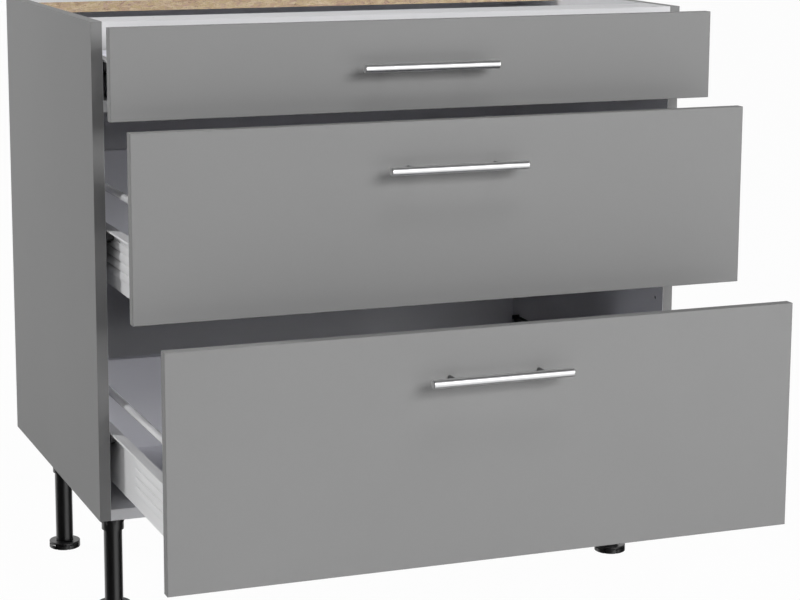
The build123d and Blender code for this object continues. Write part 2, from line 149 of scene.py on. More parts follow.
# %% A network that is written node by node
class Recipe:
    """A network of nodes that is being written."""

    def __init__(self, tree):
        self.tree = tree
        tree.nodes.clear()

    def node(self, kind, settings=None, sockets=None):
        """A new node. The wire that comes back is its first output."""
        made = self.tree.nodes.new(kind)
        for name, value in (settings or {}).items():
            if name == "stops":
                colours = made.color_ramp.elements
                while len(colours) < len(value):
                    colours.new(0.5)
                for stop, (position, colour) in zip(colours, value):
                    stop.position, stop.color = position, colour
            else:
                setattr(made, name, value)
        for name, value in (sockets or {}).items():
            if isinstance(name, int):
                socket = made.inputs[name]
            else:
                socket = next(s for s in made.inputs if s.name == name and s.enabled)
            for part in value if isinstance(value, list) else [value]:
                if isinstance(part, Wire):
                    self.tree.links.new(part.socket, socket)
                else:
                    socket.default_value = part
        return Wire(self, next((s for s in made.outputs if s.enabled), None))

    def between(self, value, start, end, low=0.0, high=1.0):
        """A soft step from low to high while a value goes from start to end."""
        return self.node("ShaderNodeMapRange", {"interpolation_type": "SMOOTHSTEP"},
                         {"Value": value, "From Min": start, "From Max": end,
                          "To Min": low, "To Max": high})


# %% [markdown]
# ## The studio
# A catalogue picture has a white ground and soft light from several sides, and the air itself
# gives a little. What the camera sees of it is made plain white. Shiny things see a white sheet in
# front and a wider one behind, darkness beside them and a dim ceiling, which gives round bars and
# tubes their shading. The floor is white too, and keeps a faint shadow so that the cabinet stands
# on something.
# Two wide boxes stand in front: the far one lights the fronts, and the near, higher one shines over
# them into the drawers. A smaller one hangs above the open drawers. Two low ones send light up
# under the handles, straight and by way of the floor, and a narrow one stands high behind the left
# side, where it catches the ribs of the white steel sides.

# %% The air
air_light = 0.04
ceiling = 0.38                           # brightness of the ceiling in shiny things, white is 1
dark_side = 0.02                         # brightness beside the white sheets in shiny things
sheet_left, sheet_right = (-0.15, 0.05), (0.65, 0.85)    # soft edges of the front sheet
rear_edge = (0.35, 0.6)                  # soft edge of the rear sheet
ceiling_edge = (0.15, 1.0)               # soft step from the walls to the ceiling
tiny = 0.001                             # keeps a divisor or a radius off zero
world = bpy.data.worlds.new("studio_air")
world.use_nodes = True
scene.world = world
air = Recipe(world.node_tree)

path = air.node("ShaderNodeLightPath")
straight, mirrored = path.of("Is Camera Ray"), path.of("Is Glossy Ray")
way = air.node("ShaderNodeSeparateXYZ", None, {"Vector": air.node("ShaderNodeTexCoord")})
level = (way.of("X") * way.of("X") + way.of("Y") * way.of("Y")).root().most(tiny)
across, along = way.of("X") / level, way.of("Y") / level       # 1 is straight right, straight back
front_sheet = air.between(across, *sheet_left) * air.between(across, *sheet_right, 1.0, 0.0)
sheets = front_sheet.most(air.between(along, *rear_edge))
walls = (dark_side + (1 - dark_side) * sheets) * air.between(way.of("Z"), *ceiling_edge, 1.0, ceiling)
strength = straight + (1 - straight) * (mirrored * walls + (1 - mirrored) * air_light)
ground = air.node("ShaderNodeBackground", None, {"Color": (1, 1, 1, 1), "Strength": strength})
air.node("ShaderNodeOutputWorld", None, {"Surface": ground})
print("air light", air_light)

# %% The floor
floor_size = 24.0
floor_white = 0.85
floor_shine = 0.975                      # share of the floor that is plain white to the camera

paper = bpy.data.materials.new("studio_paper")
paper.use_nodes = True
sheet = Recipe(paper.node_tree)
matt = sheet.node("ShaderNodeBsdfDiffuse", None, {"Color": (floor_white, floor_white, floor_white, 1)})
glow = sheet.node("ShaderNodeEmission", None, {"Color": (1, 1, 1, 1), "Strength": 1.0})
seen = sheet.node("ShaderNodeLightPath").of("Is Camera Ray")
both = sheet.node("ShaderNodeMixShader", None, {0: seen * floor_shine, 1: matt, 2: glow})
sheet.node("ShaderNodeOutputMaterial", None, {"Surface": both})

half = floor_size / 2
floor_mesh = bpy.data.meshes.new("studio_floor")
floor_mesh.from_pydata([(-half, -half, 0), (half, -half, 0), (half, half, 0), (-half, half, 0)],
                       [], [(0, 1, 2, 3)])
floor_mesh.materials.append(paper)
floor = bpy.data.objects.new("studio_floor", floor_mesh)
scene.collection.objects.link(floor)
floor.visible_glossy = False             # shiny things see the air below it instead
print("floor", floor_size, "m wide")

# %% The lamps
def hang_lamp(name, place, aim, width, height, watts, in_metal=True):
    """A soft box: a rectangle of light that faces a point. in_metal says if shiny metal shows it."""
    lamp = bpy.data.lights.new(name, "AREA")
    lamp.shape = "RECTANGLE"
    lamp.size, lamp.size_y, lamp.energy = width, height, watts
    holder = bpy.data.objects.new(name, lamp)
    scene.collection.objects.link(holder)
    holder.location = place
    holder.rotation_euler = (Vector(aim) - Vector(place)).to_track_quat("-Z", "Y").to_euler()
    holder.visible_glossy = in_metal
    print(name, watts, "W")


hang_lamp("front_box", (1.3, -6.0, 2.3), (0, -0.2, 0.5), 3.6, 1.4, 116)
hang_lamp("drawer_box", (1.3, -4.2, 2.7), (0, -0.2, 0.4), 3.0, 0.7, 72, in_metal=False)
hang_lamp("slot_box", (0.3, -1.5, 3.4), (0, -0.3, 0.4), 1.6, 0.5, 17, in_metal=False)
hang_lamp("floor_box", (1.0, -2.9, 0.9), (1.0, -2.9, 0.0), 3.0, 1.2, 14, in_metal=False)
hang_lamp("low_box", (1.0, -2.6, 0.14), (0, -0.2, 0.7), 1.6, 0.16, 1.5, in_metal=False)
hang_lamp("left_rear_box", (-2.8, 1.6, 2.6), (-0.4, -0.1, 0.5), 0.4, 1.6, 64)

# %% [markdown]
# ## Paint and grain
# Colours are noted as a painter reads them off a screen, from 0 to 255, and turned into light
# by one helper. Every finish starts from the place of a point on the object, in metres, so a
# grain keeps its real size on every board. The same few steps come back in each finish: a noise,
# a blend of two colours and a bump, and they are kept in one class.

# %% Colours
def paint(red, green, blue):
    """A colour noted from 0 to 255 on a screen, as light."""
    shares = (value / 255 for value in (red, green, blue))
    return (*(s / 12.92 if s <= 0.04045 else ((s + 0.055) / 1.055) ** 2.4 for s in shares), 1.0)


def shade(colour, share):
    """A colour made darker or lighter, and never lighter than white."""
    return (*(min(1.0, share * value) for value in colour[:3]), 1.0)


# %% A finish
class Finish(Recipe):
    """A material whose pattern follows the place of a point on the object, in metres."""

    def __init__(self, name):
        self.material = bpy.data.materials.new(name)
        self.material.use_nodes = True
        super().__init__(self.material.node_tree)
        self.place = self.node("ShaderNodeTexCoord").of("Object")
        self.x = self.node("ShaderNodeSeparateXYZ", None, {"Vector": self.place})
        self.y, self.z = self.x.of("Y"), self.x.of("Z")

    def noise(self, size, detail=2.0, stretch=(1, 1, 1), roughness=0.5):
        """Cloudy noise from 0 to 1. size is that of its patches, in metres."""
        where = self.node("ShaderNodeMapping", None, {"Vector": self.place, "Scale": stretch})
        return self.node("ShaderNodeTexNoise", None,
                         {"Vector": where, "Scale": 1 / size, "Detail": detail, "Roughness": roughness})

    def flakes(self, size, stretch=(1, 1, 1)):
        """Cells of about one size, each with its own random colour."""
        where = self.node("ShaderNodeMapping", None, {"Vector": self.place, "Scale": stretch})
        return self.node("ShaderNodeTexVoronoi", None, {"Vector": where, "Scale": 1 / size}).of("Color")

    def ramp(self, value, *stops):
        """A run of colours along a value."""
        return self.node("ShaderNodeValToRGB", {"stops": stops}, {"Fac": value})

    def blend(self, share, first, second):
        """first where share is 0, second where it is 1."""
        return self.node("ShaderNodeMix", {"data_type": "RGBA"},
                         {"Factor": share, "A": first, "B": second})

    def bump(self, height, depth):
        """A relief of that depth in metres."""
        return self.node("ShaderNodeBump", None, {"Height": height, "Distance": depth, "Strength": 1.0})

    def surface(self, base, roughness, normal, **plain):
        """Ends the finish. plain holds values that are the same all over the surface."""
        sockets = {"Base Color": base, "Roughness": roughness, "Normal": normal}
        for name, value in plain.items():
            sockets[name.replace("_", " ").title().replace("Ior", "IOR")] = value
        shader = self.node("ShaderNodeBsdfPrincipled", None, sockets)
        self.node("ShaderNodeOutputMaterial", None, {"Surface": shader})
        print("finish", self.material.name)
        return self.material


# %% Give CAD nodes a finish
def dress(finish, *names):
    """Gives CAD nodes a finish through their material slots."""
    for name in names:
        for slot in nodes[name].material_slots:
            slot.material = finish


# %% [markdown]
# ## Laminated boards
# The cabinet is made of particle board with a thin printed skin. The skin has a fine pearl
# texture, too small to see from afar but enough to break up reflections. Its edges are covered
# with a glued band, which shows as a hair-thin joint a fraction of a millimetre from the corner.
# The distance to the nearest edge of a face comes from the board's own box: of the three
# distances to its faces, the smallest is nearly zero on the surface, and the middle one is the
# distance to the edge.

# %% The distance to the nearest edge of a board
def edge_distance(finish, node):
    """Metres from a point on a box-shaped board to the nearest edge of its face."""
    places = zip((finish.x, finish.y, finish.z), *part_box(node))
    first, second, third = ((place - low).least(high - place) for place, low, high in places)
    return first.least(second).most(first.most(second).least(third))


# %% The skin of a board
band_joint, band_joint_width = 0.9 * mm, 0.25 * mm
cloud_size, fleck_size = 0.22, 2.4 * mm
# lighter rubs along the very edges: edge wear, and a painted highlight of the rounded edges catching
# light
rub_and_highlight_reach, rub_and_highlight_patch = 0.5 * mm, 9 * mm
pearl_size, pearl_depth = 0.7 * mm, 0.02 * mm


def board_skin(finish, node, colour, joint_colour, wear_and_highlight_colour):
    """Colour, roughness and relief of a laminated board, as a row of three wires."""
    edge = edge_distance(finish, node)
    cloud = finish.noise(cloud_size, 3.0)
    fleck = finish.noise(fleck_size, 2.0)
    skin = finish.blend(cloud * 0.6 + fleck * 0.4, shade(colour, 0.955), shade(colour, 1.035))
    joint = finish.between(abs(edge - band_joint), band_joint_width, 0.0)
    skin = finish.blend(joint * 0.35, skin, joint_colour)
    # lighter patches at the very edge: wear, and a painted highlight where the rounded edge catches light
    patches = finish.between(finish.noise(rub_and_highlight_patch, 3.0), 0.45, 0.7)
    rub_and_highlight = finish.between(edge, rub_and_highlight_reach, 0.0) * patches
    skin = finish.blend(rub_and_highlight * 0.4, skin, wear_and_highlight_colour)
    pearl = finish.noise(pearl_size, 1.0)
    relief = finish.bump(pearl - joint * 1.5, pearl_depth)
    return skin, 0.56 + fleck * 0.08 + rub_and_highlight * 0.1, relief


# %% [markdown]
# ## Raw board edges
# Where no band was glued on, the edge of the board shows what it is made of: chips of spruce
# and pine pressed together, from straw to brown, with dark specks of bark and small gaps.
# Cells in two sizes, drawn out along the board, give the chips. A fine noise gives the specks.

# %% Pressed chips
cream = paint(228, 208, 182)
ochre = paint(206, 184, 140)
rose = paint(204, 172, 158)
brown_chip = paint(150, 122, 104)
bark = paint(112, 90, 78)
large_chip, small_chip, bark_speck = 5.2 * mm, 1.9 * mm, 1.5 * mm
chip_stretch = (0.5, 0.5, 1.3)           # the cells lie flat, long in the plane of the board
chip_relief = 0.3 * mm


def chips(finish):
    """Colour and relief of a raw particle board edge."""
    large, small = (
        finish.node("ShaderNodeSeparateColor", None, {"Color": finish.flakes(size, chip_stretch)})
        for size in (large_chip, small_chip))
    tone = large * 0.55 + small * 0.45
    wood = finish.ramp(tone, (0.0, brown_chip), (0.3, rose), (0.55, ochre), (0.8, cream), (1.0, cream))
    tinted = finish.ramp(large.of("Green"), (0.0, rose), (0.5, ochre), (1.0, cream))
    colour = finish.blend(0.35, wood, tinted)
    speck = finish.between(finish.noise(bark_speck, 3.0), 0.58, 0.68)
    colour = finish.blend(speck * 0.75, colour, bark)
    return colour, finish.bump(tone - speck, chip_relief)


# %% [markdown]
# ## Grey side panels and fronts
# The side panels are grey outside and on their edges, and pale inside, as carcass board is.
# The fronts are grey all round. Two faces of one board differ, so a mask made from the place
# across the cabinet tells the inner face from the others.

# %% Grey and pale boards
grey = paint(150, 150, 150)
grey_joint = paint(118, 118, 118)
# lighter than the grey: edge wear and a painted edge highlight
grey_rub_and_highlight = paint(176, 176, 175)
pale = paint(242, 242, 244)
pale_joint = paint(196, 194, 190)
# lighter edge colour of pale boards: edge wear and a painted edge highlight
pale_rub_and_highlight = paint(242, 241, 238)
inner_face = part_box("bottom_panel")[1].x           # the bottom board fills the carcass's width
face_depth = 0.3 * mm                    # a point this near to a face counts as on it
grey_gleam = 0.12


def grey_board(node):
    """A board that is grey all round."""
    finish = Finish("grey_" + node)
    skin, dull, relief = board_skin(finish, node, grey, grey_joint, grey_rub_and_highlight)
    return finish.surface(skin, dull, relief, specular_ior_level=grey_gleam)


def side_board(node):
    """A side panel: grey, with a pale inner face."""
    finish = Finish("grey_" + node)
    skin, dull, relief = board_skin(finish, node, grey, grey_joint, grey_rub_and_highlight)
    inside = board_skin(finish, node, pale, pale_joint, pale_rub_and_highlight)[0]
    mask = abs(finish.x) < inner_face + face_depth
    return finish.surface(finish.blend(mask, skin, inside), dull, relief, specular_ior_level=grey_gleam)


for name in ("side_panel_left", "side_panel_right"):
    dress(side_board(name), name)
for drawer in drawers:
    dress(grey_board(f"drawer_{drawer}_front"), f"drawer_{drawer}_front")
print("inner faces at", round(inner_face, 3), "m from the middle")

# %% Pale boards, with the edges that stayed raw
chips_depth = 0.2 * mm                   # a point this near to a raw edge shows its chips
pale_gleam = 0.16


def pale_board(node, colour=pale, raw_front=False, raw_rear=False):
    """A pale board. A raw edge shows its chips at the front or at the rear."""
    finish = Finish("pale_" + node)
    skin, dull, relief = board_skin(finish, node, colour, pale_joint, pale_rub_and_highlight)
    if raw_front or raw_rear:
        low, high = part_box(node)
        front, rear = finish.y < low.y + chips_depth, finish.y > high.y - chips_depth
        mask = front.most(rear) if raw_front and raw_rear else front if raw_front else rear
        wood, wood_relief = chips(finish)
        skin = finish.blend(mask, skin, wood)
        dull = dull + mask * 0.35
        relief = finish.node("ShaderNodeMix", {"data_type": "VECTOR"},
                             {"Factor": mask, "A": relief, "B": wood_relief})
    return finish.surface(skin, dull, relief, specular_ior_level=pale_gleam)


for name, raw_front, raw_rear in (("bottom_panel", False, True), ("front_strip", False, False),
                                  ("front_rail", False, False), ("middle_rail", False, True),
                                  ("rear_rail", True, True)):
    dress(pale_board(name, pale, raw_front, raw_rear), name)

lilac_grey = paint(238, 238, 244)
for drawer in drawers:
    dress(pale_board(f"drawer_{drawer}_floor", lilac_grey), f"drawer_{drawer}_floor")
    dress(pale_board(f"drawer_{drawer}_back", lilac_grey), f"drawer_{drawer}_back")

# %% [markdown]
# ## The back panel
# A thin sheet of pressed fibre closes the back. It is lacquered pale inside, and its rear keeps
# the brown of the fibres with the faint weave that the press screen leaves.

# %% Fibre board
back_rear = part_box("back_panel")[1].y
screen_size, weave_depth = 1.6 * mm, 0.05 * mm
fibre = Finish("pressed_fibre")
screen = fibre.node("ShaderNodeTexChecker", None,
                    {"Vector": fibre.place, "Scale": 1 / screen_size}).of("Fac")
brown = fibre.blend(fibre.noise(2.2 * mm, 4.0), paint(140, 102, 72), paint(170, 130, 94))
brown = fibre.blend(fibre.between(fibre.noise(0.16, 2.0), 0.4, 0.7) * 0.3, brown, paint(124, 90, 64))
lacquer = fibre.blend(fibre.noise(0.2, 3.0), paint(234, 234, 238), paint(240, 240, 243))
rear_side = fibre.y > back_rear - face_depth
weave = fibre.bump(fibre.noise(0.8 * mm, 2.0) + rear_side * screen * 0.6, weave_depth)
fibre_board = fibre.surface(fibre.blend(rear_side, lacquer, brown), 0.55 + rear_side * 0.2, weave)
dress(fibre_board, "back_panel")

# %% [markdown]
# ## Steel parts
# The drawer sides are bent from steel sheet and powder-coated white. The powder melts into
# a skin with a soft ripple, the orange peel, and a satin gloss. The gallery rails are a little
# darker and more glossy. The runners are coated black, rubbed where the rollers run.

# %% White powder coat
def powder_coat(name, colour, gloss, peel):
    """Coated steel. peel is the depth of the ripple."""
    finish = Finish(name)
    tint = finish.blend(finish.noise(0.12, 2.0), colour, shade(colour, 0.97))
    ripple = finish.bump(finish.noise(2.0 * mm, 1.0), peel)
    return finish.surface(tint, gloss + finish.noise(0.03, 2.0) * 0.06, ripple, specular_ior_level=0.3,
                          coat_weight=0.1, coat_roughness=0.25)


white_steel = powder_coat("white_powder_coat", paint(247, 247, 248), 0.36, 0.025 * mm)
gallery_white = powder_coat("glossy_gallery_coat", paint(236, 236, 238), 0.16, 0.006 * mm)
for drawer in drawers:
    dress(white_steel, f"drawer_{drawer}_side_left", f"drawer_{drawer}_side_right",
          f"drawer_{drawer}_brackets")

# %% Black runners
track_edge = (9 * mm, 7 * mm)            # where a track fades out, from the side panel
track_foot = (12 * mm, 9 * mm)           # and from the runner's top


def runner_coat(node):
    """Black coated steel with bright tracks where the rollers have run."""
    finish = Finish("black_coat_" + node)
    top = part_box(node)[1].z
    track = finish.between(inner_face - abs(finish.x), *track_edge)
    track = track * finish.between(top - finish.z, *track_foot)
    track = track * finish.noise(1.0 * mm, 2.0, (1, 0.02, 1))
    coat = finish.blend(finish.noise(0.02, 3.0), paint(26, 26, 27), paint(34, 34, 35))
    coat = finish.blend(track * 0.5, coat, paint(120, 120, 118))
    return finish.surface(coat, 0.42 - track * 0.12, finish.bump(finish.noise(0.6 * mm, 1.0), 0.012 * mm))


for drawer in drawers:
    dress(runner_coat(f"runners_{drawer}"), f"runners_{drawer}")

# %% [markdown]
# ## Handles
# Each handle is a round steel bar on two thin posts. The bar is brushed along its length, which
# spreads reflections across it: a bright band with soft edges. Scratches drawn out along the
# bar, in the roughness and in a shallow relief, do that.

# %% Brushed bars and turned posts
brushed = Finish("brushed_bar")
hairline = brushed.noise(0.35 * mm, 3.0, (0.01, 1, 1), 0.7)
bar_tone = brushed.blend(hairline, paint(230, 230, 231), paint(243, 243, 244))
bar = brushed.surface(bar_tone, 0.26 + hairline * 0.14, brushed.bump(hairline, 0.006 * mm), metallic=1.0)

# The posts are much darker than the bar: painted shade for the shade they sit in between the bar and the
# front.
turned_steel = Finish("turned_post")
lathe_marks = turned_steel.noise(0.3 * mm, 2.0, (1, 30, 1))
post_tone_with_painted_shade = turned_steel.blend(lathe_marks, paint(120, 120, 121), paint(150, 150, 151))
post = turned_steel.surface(post_tone_with_painted_shade, 0.34 + lathe_marks * 0.1,
                            turned_steel.bump(lathe_marks, 0.005 * mm), metallic=1.0)

# %% [markdown]
# ## Small plastic, zinc and wood parts
# The legs, feet and runner stops are black moulded plastic with a fine spark-eroded grain. The
# rollers are smoother. The sockets of the gallery rails are white. Screws, cams and bolts are
# zinc plated, with a bluish spangle, and the dowels are beech with its short dark rays.

# %% Moulded plastic
def moulded(name, colour, gloss, grain_size, grain_depth):
    """Injection moulded plastic."""
    finish = Finish(name)
    tone = finish.blend(finish.noise(0.03, 2.0), colour, shade(colour, 1.25))
    grain = finish.bump(finish.noise(grain_size, 1.0), grain_depth)
    return finish.surface(tone, gloss + finish.noise(0.012, 2.0) * 0.08, grain, specular_ior_level=0.9)


black_plastic = moulded("black_moulding", paint(26, 26, 27), 0.3, 0.5 * mm, 0.015 * mm)
roller_plastic = moulded("roller_moulding", paint(52, 52, 54), 0.28, 0.6 * mm, 0.006 * mm)
white_plastic = moulded("white_moulding", paint(230, 230, 231), 0.34, 0.5 * mm, 0.01 * mm)
dress(black_plastic, "leg_sockets", "runner_end_stops")
for drawer in drawers:
    dress(roller_plastic, f"front_rollers_{drawer}", f"rear_rollers_{drawer}")
for drawer in railed_drawers:
    dress(white_plastic, f"drawer_{drawer}_gallery_sockets")

# %% Zinc plating and beech
plating = Finish("zinc_plating")
spangle = plating.node("ShaderNodeSeparateColor", None, {"Color": plating.flakes(1.4 * mm)})
zinc_tone = plating.blend(spangle, paint(178, 180, 186), paint(206, 208, 212))
zinc = plating.surface(zinc_tone, 0.28 + spangle * 0.14,
                       plating.bump(plating.noise(0.5 * mm), 0.006 * mm), metallic=1.0)

beech = Finish("beech_dowel")
rays = beech.between(beech.noise(0.7 * mm, 2.0, (0.15, 1, 1)), 0.56, 0.66)
grain = beech.noise(3.0 * mm, 3.0, (0.1, 1, 1))
dowel_wood = beech.blend(rays * 0.5, beech.blend(grain, paint(206, 170, 128), paint(222, 192, 154)),
                         paint(160, 112, 78))
dress(zinc, "cam_bolts")
dress(beech.surface(dowel_wood, 0.62, beech.bump(grain - rays, 0.05 * mm)), "dowels")

# %% [markdown]
# ## Turned rods
# Handle bars, their posts, the gallery rails and the legs' tubes are round bars. In the frame they
# are many flat strips, which break a highlight into steps, so each is turned again here: a row of
# rings along its axis, shaded smooth, with sharp edges only at its ends. Its place, length and
# thickness are read from the CAD node, so nothing moves.

# %% Take a node apart into its solids
same_place = 0.01 * mm                   # points nearer than this are one point


def solids_of(node):
    """The points of every separate solid of a CAD node."""
    form = bmesh.new()
    form.from_mesh(nodes[node].data)
    bmesh.ops.remove_doubles(form, verts=form.verts, dist=same_place)
    known, found = set(), []
    for first in form.verts:
        if first in known:
            continue
        known.add(first)
        reached = [first]
        for vertex in reached:
            for edge in vertex.link_edges:
                other = edge.other_vert(vertex)
                if other not in known:
                    known.add(other)
                    reached.append(other)
        found.append([vertex.co.copy() for vertex in reached])
    form.free()
    return found


def reach_of(points):
    """Lowest corner, highest corner, middle and longest axis of a solid."""
    low = Vector(min(p[k] for p in points) for k in range(3))
    high = Vector(max(p[k] for p in points) for k in range(3))
    sides = high - low
    return low, high, (low + high) / 2, max(range(3), key=lambda k: sides[k])


# %% Turn a rod
rod_sides = 48


def turn_rod(form, middle, axis, profile):
    """Adds a round closed form. profile holds (place along the axis, radius) of each ring."""
    across, up = (axis + 1) % 3, (axis + 2) % 3
    rings = []
    for place, radius in profile:
        ring = []
        for step in range(rod_sides):
            angle = 2 * math.pi * step / rod_sides
            point = Vector(middle)
            point[axis] = place
            point[across] += radius * math.cos(angle)
            point[up] += radius * math.sin(angle)
            ring.append(form.verts.new(point))
        rings.append(ring)
    for near, far in zip(rings, rings[1:]):
        for step in range(rod_sides):
            after = (step + 1) % rod_sides
            form.faces.new((near[step], near[after], far[after], far[step]))
    form.faces.new(list(reversed(rings[0])))
    form.faces.new(rings[-1])


# %% Turned pieces in the place of CAD nodes
def turned_piece(node, chamfer, finish, body):
    """Turned rods in the place of a CAD node of round bars."""
    form = bmesh.new()
    for points in solids_of(node):
        low, high, middle, axis = reach_of(points)
        radius = (high - low)[(axis + 1) % 3] / 2
        turn_rod(form, middle, axis,
                 [(low[axis], radius - chamfer), (low[axis] + chamfer, radius),
                  (high[axis] - chamfer, radius), (high[axis], radius - chamfer)])
    bmesh.ops.recalc_face_normals(form, faces=form.faces)
    mesh = bpy.data.meshes.new(node + "_turned")
    form.to_mesh(mesh)
    form.free()
    mesh.shade_smooth()
    mesh.set_sharp_from_angle(angle=math.radians(30))
    mesh.materials.append(finish)
    piece = bpy.data.objects.new(node + "_turned", mesh)
    scene.collection.objects.link(piece)
    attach(piece, body)
    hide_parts(node)
    print(piece.name, "has", len(mesh.polygons), "faces")


for drawer in drawers:
    body = f"drawer_{drawer}"
    turned_piece(body + "_handle_bar", 0.6 * mm, bar, body)
    turned_piece(body + "_handle_posts", 0.05 * mm, post, body)
    if drawer in railed_drawers:
        turned_piece(body + "_gallery_rails", 0.3 * mm, gallery_white, body)
turned_piece("leg_tubes", 0.4 * mm, black_plastic, "carcass")

# %% [markdown]
# ## Geometry Nodes for what repeats
# The cabinet has over a hundred screws and cams of the same few shapes. Geometry Nodes make one
# of each and put copies on points, so a change of one number changes them all. Two helpers write
# a tree with named inputs, and run it on a starting mesh and keep the result as a plain mesh.

# %% Write a tree
def new_tree(name, numbers):
    """A tree that takes a geometry, named sizes in metres or counts, and a finish."""
    tree = bpy.data.node_groups.new(name, "GeometryNodeTree")
    face = tree.interface
    face.new_socket("Geometry", in_out="INPUT", socket_type="NodeSocketGeometry")
    keys = {}
    for label, value in numbers.items():
        kind = "NodeSocketInt" if isinstance(value, int) else "NodeSocketFloat"
        socket = face.new_socket(label, in_out="INPUT", socket_type=kind)
        socket.default_value = value
        keys[label] = socket.identifier
    socket = face.new_socket("Finish", in_out="INPUT", socket_type="NodeSocketMaterial")
    keys["Finish"] = socket.identifier
    face.new_socket("Geometry", in_out="OUTPUT", socket_type="NodeSocketGeometry")
    steps = Recipe(tree)
    return steps, steps.node("NodeGroupInput"), keys


def end_tree(steps, given, geometry):
    """Ends a tree: its copies become real, and take the finish."""
    real = steps.node("GeometryNodeRealizeInstances", None, {"Geometry": geometry})
    done = steps.node("GeometryNodeSetMaterial", None, {"Geometry": real, "Material": given.of("Finish")})
    steps.node("NodeGroupOutput", None, {"Geometry": done})
    print("tree", steps.tree.name, "has", len(steps.tree.nodes), "nodes")


# %% Run a tree
def one_finish(mesh, finish):
    """Gives a whole mesh one finish."""
    mesh.materials.clear()
    mesh.materials.append(finish)
    for face in mesh.polygons:
        face.material_index = 0


def run_tree(name, steps, keys, start, finish, **numbers):
    """Runs a tree on a starting mesh. The result is a plain mesh."""
    piece = bpy.data.objects.new(name, start)
    scene.collection.objects.link(piece)
    modifier = piece.modifiers.new(name, "NODES")
    modifier.node_group = steps.tree
    modifier[keys["Finish"]] = finish
    for label, value in numbers.items():
        modifier[keys[label.replace("_", " ")]] = value
    ready = piece.evaluated_get(bpy.context.evaluated_depsgraph_get())
    result = bpy.data.meshes.new_from_object(ready)
    piece.modifiers.clear()
    piece.data = result
    one_finish(result, finish)
    print(name, "has", len(result.polygons), "faces")
    return piece


# %% [markdown]
# ## Reading where the screws are
# Each kind of screw is one CAD node made of many solids, and each solid tells its own place: its
# longest side is its axis, and the end with the wider ring of points is its head.

# %% Read the screws
end_ring = 0.02 * mm                     # points this near to a screw's end are its last ring


def screw_of(points):
    """(outermost point of the head, direction it faces, whole length, head's radius)."""
    low, high, middle, axis = reach_of(points)
    widths = {}
    for end, way in ((low, -1), (high, 1)):
        ring = [p - middle for p in points if abs(p[axis] - end[axis]) < end_ring]
        widths[way] = max((p.length_squared - p[axis] ** 2) ** 0.5 for p in ring)
    way = max(widths, key=widths.get)
    facing, head = Vector((0, 0, 0)), middle.copy()
    facing[axis] = way
    head[axis] = (high if way > 0 else low)[axis]
    return head, facing, (high - low)[axis], widths[way]


def points_mesh(name, places):
    """A mesh of points. places holds (point, direction, length, radius) of each."""
    mesh = bpy.data.meshes.new(name)
    mesh.from_pydata([place[0] for place in places], [], [])
    facing = mesh.attributes.new("facing", "FLOAT_VECTOR", "POINT")
    facing.data.foreach_set("vector", [value for place in places for value in place[1]])
    for column, label in ((2, "length"), (3, "radius")):
        numbers = mesh.attributes.new(label, "FLOAT", "POINT")
        numbers.data.foreach_set("value", [place[column] for place in places])
    return mesh


# %% [markdown]
# ## Screws and cams
# A screw head is a low dome with a cross cut into it, and a cam is a thick disc with the same
# cross, so one tree makes both. The head is made once, at a radius of 1 m, and each copy is
# scaled to the radius that its point carries. The shank is a thin rod as long as the point says.

# %% Helpers for trees
def read_mark(steps, label, kind="FLOAT"):
    """An attribute that the points carry."""
    return steps.node("GeometryNodeInputNamedAttribute", {"data_type": kind}, {"Name": label})


def joined(steps, x, y, z):
    """Three numbers as one vector."""
    return steps.node("ShaderNodeCombineXYZ", None, {0: x, 1: y, 2: z})


def moved(steps, shape, x, y, z):
    """A shape in another place."""
    return steps.node("GeometryNodeTransform", None,
                      {"Geometry": shape, "Translation": joined(steps, x, y, z)})


def copies(steps, points, shape, **turned):
    """A copy of a shape on every point. turned holds the Rotation and Scale of the copies."""
    return steps.node("GeometryNodeInstanceOnPoints", None,
                      {"Points": points, "Instance": shape, **turned})


# %% A tree for cross-headed pieces
cross_steps, cross_given, cross_keys = new_tree("cross_headed", {
    "Head height": 1.8 * mm, "Dome": 0.72, "Slot reach": 0.62, "Slot width": 0.2,
    "Slot depth": 1.1 * mm, "Shank radius": 2.0 * mm})
head_sides, shank_sides = 20, 12
crown_share = 0.45                       # share of the head's height that is domed, the rest is below
head_height = cross_given.of("Head height")
shoulder = cross_steps.node("GeometryNodeMeshCylinder", None,
                            {"Vertices": head_sides, "Radius": 1.0,
                             "Depth": head_height * (1 - crown_share)})
shoulder = moved(cross_steps, shoulder, 0.0, 0.0, head_height * (-(1 + crown_share) / 2))
crown = cross_steps.node("GeometryNodeMeshCone", None,
                         {"Vertices": head_sides, "Radius Top": cross_given.of("Dome"),
                          "Radius Bottom": 1.0, "Depth": head_height * crown_share})
crown = moved(cross_steps, crown, 0.0, 0.0, head_height * -crown_share)
reach, width = cross_given.of("Slot reach") * 2, cross_given.of("Slot width")
depth = cross_given.of("Slot depth") * 2
slots = [cross_steps.node("GeometryNodeMeshCube", None, {"Size": joined(cross_steps, *sides, depth)})
         for sides in ((width, reach), (reach, width))]
cut = cross_steps.node("GeometryNodeMeshBoolean", {"operation": "DIFFERENCE", "solver": "EXACT"},
                       {"Mesh 1": crown, "Mesh 2": slots})
head = cross_steps.node("GeometryNodeJoinGeometry", None, {"Geometry": [cut, shoulder]})

